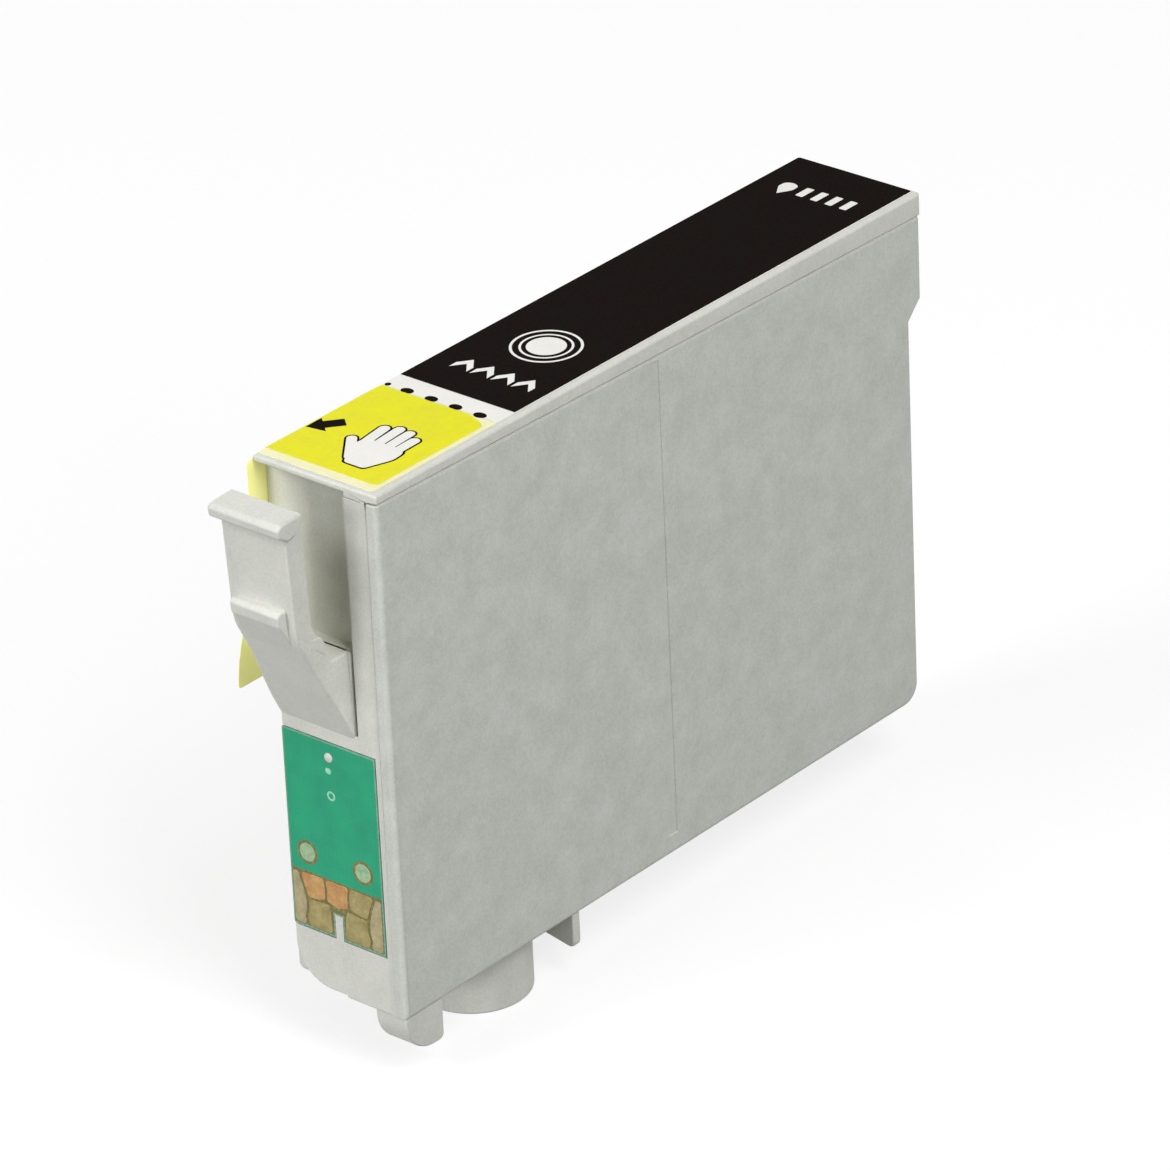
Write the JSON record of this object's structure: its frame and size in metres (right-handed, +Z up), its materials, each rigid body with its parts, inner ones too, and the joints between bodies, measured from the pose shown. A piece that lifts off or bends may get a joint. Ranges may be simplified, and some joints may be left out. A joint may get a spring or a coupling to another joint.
{
  "type": "inkjet ink cartridge",
  "caption": "Slim rectangular ink cartridge with a springy latch lever, a contact board, a valved ink outlet below and a sticker with a pull-off tape on top.",
  "frame": {"origin": "middle of the ink outlet's mouth, in the plane of its lower rim", "axes": "+X from the latch lever and contact board towards the back, +Y away from the welded side cover, +Z up from the outlet to the sticker"},
  "size_m": [0.0741, 0.0153, 0.052],
  "materials": {
    "shell": "moulded polypropylene, satin",
    "label_dark": "printed film, semi-gloss",
    "tape_yellow": "printed film, semi-gloss",
    "board_green": "solder mask",
    "contact_gold": "gold plated",
    "resin_black": "potting resin",
    "adhesive": "adhesive film",
    "seal_rubber": "moulded rubber",
    "valve_plastic": "moulded acetal",
    "spring_steel": "drawn wire",
    "screen_steel": "woven mesh",
    "felt": "pressed felt",
    "foam": "foam soaked with ink",
    "ink": "liquid",
    "film_clear": "clear film",
    "membrane": "porous film"
  },
  "bodies": {
    "tank": {"tank_body": "shell", "side_cover": "shell", "chip_board": "board_green", "contact_pads": "contact_gold", "chip_blob": "resin_black", "chip_adhesive": "adhesive", "outlet_seal": "seal_rubber", "valve_spring": "spring_steel", "filter_screen": "screen_steel", "wick_pad": "felt", "foam_block": "foam", "ink_charge": "ink", "vent_membrane": "membrane", "vent_film": "film_clear", "fill_plug": "seal_rubber", "top_label": "label_dark", "pull_tape": "tape_yellow"},
    "lever": {"latch_lever": "shell"},
    "valve": {"valve_plunger": "valve_plastic"}
  },
  "joints": [
    {"name": "lever_flex", "type": "hinge", "parent": "tank", "child": "lever", "pos_m": [-0.01797, 0, 0.03782], "axis": [0, 1, 0], "range_deg": [0, 12], "stiffness_Nm_per_rad": 0.3},
    {"name": "valve_slide", "type": "slide", "parent": "tank", "child": "valve", "axis": [0, 0, 1], "range_m": [0, 0.0022], "stiffness_N_per_m": 250, "springref_m": -0.002, "deforming": ["valve_spring"]}
  ]
}
